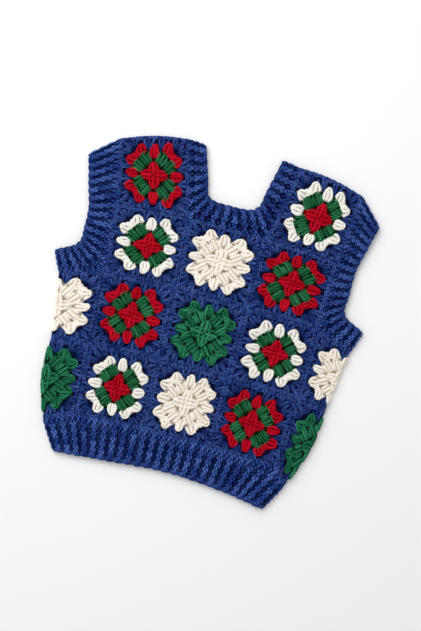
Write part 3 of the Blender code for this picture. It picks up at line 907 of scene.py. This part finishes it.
def panel(lies, rests_on, is_fine):
    """The eleven squares of the front or the back. slack makes each one a little different in the hand."""
    for row, kinds in enumerate(PANEL_KINDS):
        for column, kind in enumerate(kinds, start=1):
            if kind:
                place = f"square_r{row}_c{column}"
                spot = {"lies": lies, "column": column, "v_low": ROWS - 1 - row,
                        "slack": FIRST_SLACK + SLACK_BY_ROW * row + SLACK_BY_COLUMN * column,
                        "drift": FRONT_DRIFTS[row, column] if lies == "front" else NO_DRIFT}
                granny_square(f"{lies}_{place}", spot, kind, rests_on(place), is_fine)


panel("back", lambda place: ["floor"], is_fine=False)

# Front panel
# The same eleven squares in the same wool, face up and joined edge to edge. Their stitches stand proud, and
# the two at the shoulders bend down to meet the back.
panel("front", lambda place: [f"back_{place}_cloth"], is_fine=True)

# Side squares
# Two wool squares on each side under the arm, of one colour inside their blue border. Each is joined to the
# front and the back and folded in half round the side of the vest, so that one half lies on the other.
SIDE_DRIFTS = {"left": (4.5, -1.0), "right": (0.0, 0.0)}
SIDE_SLACK_BY_ROW = 2.3
for side_row, side_kind in ((2, "cream"), (3, "green")):
    for side_number, side in enumerate(("left", "right")):
        side_spot = {"lies": side, "v_low": ROWS - 1 - side_row,
                     "slack": SIDE_SLACK_BY_ROW * side_row + side_number, "drift": SIDE_DRIFTS[side]}
        granny_square(f"side_square_r{side_row}_{side}", side_spot, side_kind,
                      ["floor"], is_fine=True)

# Hem band
# A ribbed tube worked down from the squares in the blue wool: columns of stitches hooked round the front of
# the ones below stand up as ribs, and the ones hooked from behind sink into the valleys.
SPOTS_PER_STATION = 24

# Stations along a band: u and v where it is worked onto the squares, then x and y of its free edge
HEM_EDGE = (
    (-0.5, 0.0, -170.0, -232.0),
    (0.5, 0.0, -97.0, -226.0),
    (1.5, 0.0, 2.0, -219.5),
    (2.5, 0.0, 96.0, -226.5),
    (3.5, 0.0, 154.0, -236.0),
)


def curve_value(values, at):
    """A smooth curve through evenly spaced values."""
    index = np.clip(at.astype(int), 0, len(values) - 2)
    t = at - index
    longer = np.concatenate(([2 * values[0] - values[1]], values, [2 * values[-1] - values[-2]]))
    p0, p1, p2, p3 = (longer[index + k] for k in range(4))
    return 0.5 * (2 * p1 + (p2 - p0) * t + (2 * p0 - 5 * p1 + 4 * p2 - p3) * t * t
                  + (3 * p1 - p0 - 3 * p2 + p3) * t ** 3)


def band_point(edge, at, across):
    """A point of a band: at counts its stations, across goes from the squares to the free edge."""
    stations = np.array(edge)
    index = np.clip(at.astype(int), 0, len(edge) - 2)
    part = at - index
    u, v = (stations[index, k] * (1 - part) + stations[index + 1, k] * part for k in (0, 1))
    seam = grid_point(u, v)
    free = [curve_value(stations[:, k], at) for k in (2, 3)]
    return tuple(start * (1 - across) + end * across for start, end in zip(seam, free))


# Sizes of the ribbing, in millimetres: from rib to rib, the length of a stitch, how far the cloth of a rib
# stands up and how far it reaches past the valleys at the free edge. The ribs start lower, at the squares.
RIB_PITCH = 14.2
RIB_ROW = 11.0
RIB_RELIEF = 2.4
RIB_END = 1.6
RIB_END_SHARPNESS = 6
RIB_START_RELIEF = 0.4
RIB_START_SHARE = 0.2
LINES_PER_RIB = 6
LINES_ACROSS = 10


def lay_band(flat, band):
    """Lays points of a flat band, s along it all round, w across it and h out of the cloth."""
    s, w, h = np.moveaxis(flat, -1, 0)
    end = len(band["edge"]) - 1
    marks = np.linspace(0, end, SPOTS_PER_STATION * end + 1)
    line = np.array(band_point(band["edge"], marks, np.full_like(marks, 0.5)))
    lengths = np.concatenate(([0.0], np.cumsum(np.hypot(*np.diff(line, axis=1)))))
    front = band["ribs"] * RIB_PITCH
    rounds = s % (2 * (front + RIB_PITCH))
    run = np.where(rounds < front + RIB_PITCH / 2, rounds, 2 * front + RIB_PITCH - rounds)
    at = np.interp(run.clip(0, front) / front * lengths[-1], lengths, marks)
    far_fold = ((rounds - front) / RIB_PITCH).clip(0, 1)
    near_fold = ((rounds - 2 * front - RIB_PITCH) / RIB_PITCH).clip(0, 1)
    across = SEAM_GAP / 2 / band["width"] + w / band["width"]
    inner = np.where(at > end / 2, end - FOLD_STEP, FOLD_STEP)
    tip = np.where(at > end / 2, float(end), 0.0)
    outward = direction(band_point(band["edge"], tip, across), band_point(band["edge"], inner, across))
    return lay(*band_point(band["edge"], at, across), h, np.pi * (far_fold + near_fold), outward)


# A front post stitch of a rib is two fat strands that cross over. A back post stitch lies sunk in the valley
# beside it.
RIB_HALF = 2.8
RIB_LEAN = 0.8
RIB_STRAND = 13.6
RIB_OVERLAP = 1.3
RIB_CROWN = 1.0
RIB_CROWN_PACE = 1.25
RIB_SINK = 0.7
RIB_CROSSING = 0.9
RIB_PARTS = (0.0, 0.17, 0.34, 0.5, 0.67, 0.84, 1.0)


def rib_strand(side):
    """One of the two strands of a rib's stitch, which passes over or under its twin."""
    route = []
    for part in RIB_PARTS:
        x = side * RIB_HALF * math.cos(math.pi * part) + RIB_LEAN * (part - 0.5)
        crown = RIB_CROWN * math.sin(math.pi * min(RIB_CROWN_PACE * part, 1.0))
        z = crown - RIB_SINK * part + side * RIB_CROSSING * math.sin(math.pi * part)
        route.append((x, RIB_STRAND * part - RIB_OVERLAP, z))
    return route


VALLEY_HALF = 1.1
VALLEY_WAIST = 0.8
VALLEY_LEAN = 0.8
VALLEY_STRANDS = [[(side * VALLEY_HALF - VALLEY_LEAN, 0.5, 0.0), (side * VALLEY_WAIST, 5.5, 0.5),
                   (side * VALLEY_HALF + VALLEY_LEAN, 10.5, 0.0)] for side in (1, -1)]
rib_stitch = yarn_path("front_post_stitch", [rib_strand(side) for side in (1, -1)])
valley_stitch = yarn_path("back_post_stitch", VALLEY_STRANDS)
RIB, VALLEY, BAND_EDGE = range(3)
band_tree = stitch_tree("ribbed_band", ("Rib", "Valley", "Edge"))

# Heights of a band's stitches. The first row is set for each band, and its valleys are narrow ribs.
RIB_HEIGHT = 3.2
VALLEY_HEIGHT = -0.2
FIRST_VALLEY_SPREAD = 0.8
BAND_EDGE_IN = 2.6
BAND_EDGE_HEIGHT = 0.9
CHAINS_PER_RIB = 2
BAND_STRANDS = {"Strand thickness": 5.4, "Strand sides": 5, "Turn unevenness": 0.05,
                "Length unevenness": 0.04}


def band_plan(band):
    """Every stitch of a band, flat: ribs and valleys row by row, then the chain of its free edge."""
    plan = []
    row_length = band["width"] / band["rows"]
    reach = row_length / RIB_ROW
    for column in range(2 * band["ribs"] + 2):
        for row in range(band["rows"]):
            rib = (column + 0.5) * RIB_PITCH
            valley = column * RIB_PITCH
            if row == 0:
                plan.append(stitch(rib, 0.0, band["first_rib"], 0.0, reach=reach, kind=RIB))
                plan.append(stitch(valley, 0.0, band["first_valley"], 0.0, reach=reach,
                                   spread=FIRST_VALLEY_SPREAD, kind=RIB))
            else:
                plan.append(stitch(rib, row * row_length, RIB_HEIGHT, 0.0, reach=reach, kind=RIB))
                plan.append(stitch(valley, row * row_length, VALLEY_HEIGHT, 0.0, reach=reach, kind=VALLEY))
        for k in range(CHAINS_PER_RIB):
            plan.append(stitch((column + k / CHAINS_PER_RIB) * RIB_PITCH, band["width"] - BAND_EDGE_IN,
                               BAND_EDGE_HEIGHT, -math.pi / 2,
                               reach=RIB_PITCH / CHAINS_PER_RIB / CHAIN_LENGTH, kind=BAND_EDGE))
    return plan


def ribbed_band(node, band):
    """One band: its thin cloth tube and the stitches worked on it."""
    ribs_round = 2 * (band["ribs"] + 1)
    around = ribs_round * RIB_PITCH
    s, w = np.meshgrid(np.linspace(0, around, LINES_PER_RIB * ribs_round + 1),
                       np.linspace(0, band["width"], LINES_ACROSS))
    rib = 0.5 - 0.5 * np.cos(2 * np.pi * s / RIB_PITCH)
    w = w + RIB_END * rib * (w / band["width"]) ** RIB_END_SHARPNESS
    risen = RIB_START_RELIEF + (1 - RIB_START_RELIEF) * smooth(w / band["width"] / RIB_START_SHARE)
    height = GROUND_HEIGHT + RIB_RELIEF * rib * risen
    # Painted shade: the cloth takes the dark gap shade in the valleys and the blue's darkened tone on the ribs
    shades = np.array(GAP_SHADE) + (np.array(GROUND_SHADES[BLUE]) - np.array(GAP_SHADE)) * rib[..., None]
    cloth = cloth_shell(f"{node}_cloth", lay_band(np.stack((s, w, height), axis=-1), band),
                        lay_band(np.stack((s, w, np.zeros_like(s)), axis=-1), band), shades, is_tube=True)
    sizes = {"Rib": rib_stitch, "Valley": valley_stitch, "Edge": chain_stitch, "Seed": band["ribs"],
             **BAND_STRANDS}
    yarn = work_stitches(f"{node}_stitches", band_plan(band), band_tree, sizes,
                         lambda points: lay_band(points, band))
    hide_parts(node)


HEM = {"edge": HEM_EDGE, "ribs": 24, "rows": 5, "width": 54.0, "first_rib": 2.5, "first_valley": 1.5}
ribbed_band("hem_band", HEM)

# Neck band
# A narrow ribbed ring of the same blue wool, worked out of the squares round the square neckline and folded
# at both shoulders.
NECK_EDGE = (
    (1.0, 4.0, -66.0, 273.0),
    (1.0, 3.5, -52.0, 229.0),
    (1.0, 3.0, -41.0, 199.5),
    (1.5, 3.0, -3.0, 195.5),
    (2.0, 3.0, 33.0, 201.0),
    (2.0, 3.5, 42.0, 232.0),
    (2.0, 4.0, 53.0, 280.0),
)
NECK = {"edge": NECK_EDGE, "ribs": 20, "rows": 3, "width": 32.0, "first_rib": 1.6, "first_valley": -0.6}
ribbed_band("neck_band", NECK)

# Armhole bands
# Two ribbed rings of the same blue wool, worked out of the squares round the armholes. Each is folded at the
# shoulder and under the arm.
ARMHOLE_EDGES = {
    "left": (
        (0.0, 4.0, -234.0, 216.0),
        (0.0, 3.5, -225.0, 180.0),
        (0.0, 3.0, -215.0, 144.0),
        (0.0, 2.5, -213.0, 109.0),
        (0.0, 2.0, -215.5, 83.0),
        (-0.5, 2.0, -245.0, 65.0),
    ),
    "right": (
        (3.0, 4.0, 219.0, 221.0),
        (3.0, 3.5, 212.0, 190.0),
        (3.0, 3.0, 203.0, 152.0),
        (3.0, 2.5, 202.0, 110.0),
        (3.0, 2.0, 203.0, 80.0),
        (3.5, 2.0, 234.0, 62.0),
    ),
}
ARMHOLE = {"ribs": 16, "rows": 4, "width": 42.0, "first_rib": 2.3, "first_valley": 0.8}
for side, armhole_edge in ARMHOLE_EDGES.items():
    ribbed_band(f"armhole_band_{side}", {"edge": armhole_edge, **ARMHOLE})

# The stitch paths have done their work
for path in (*fine_posts, *plain_posts, head_stitch, point_stitch, chain_stitch, rib_stitch, valley_stitch):
    bpy.data.objects.remove(path)
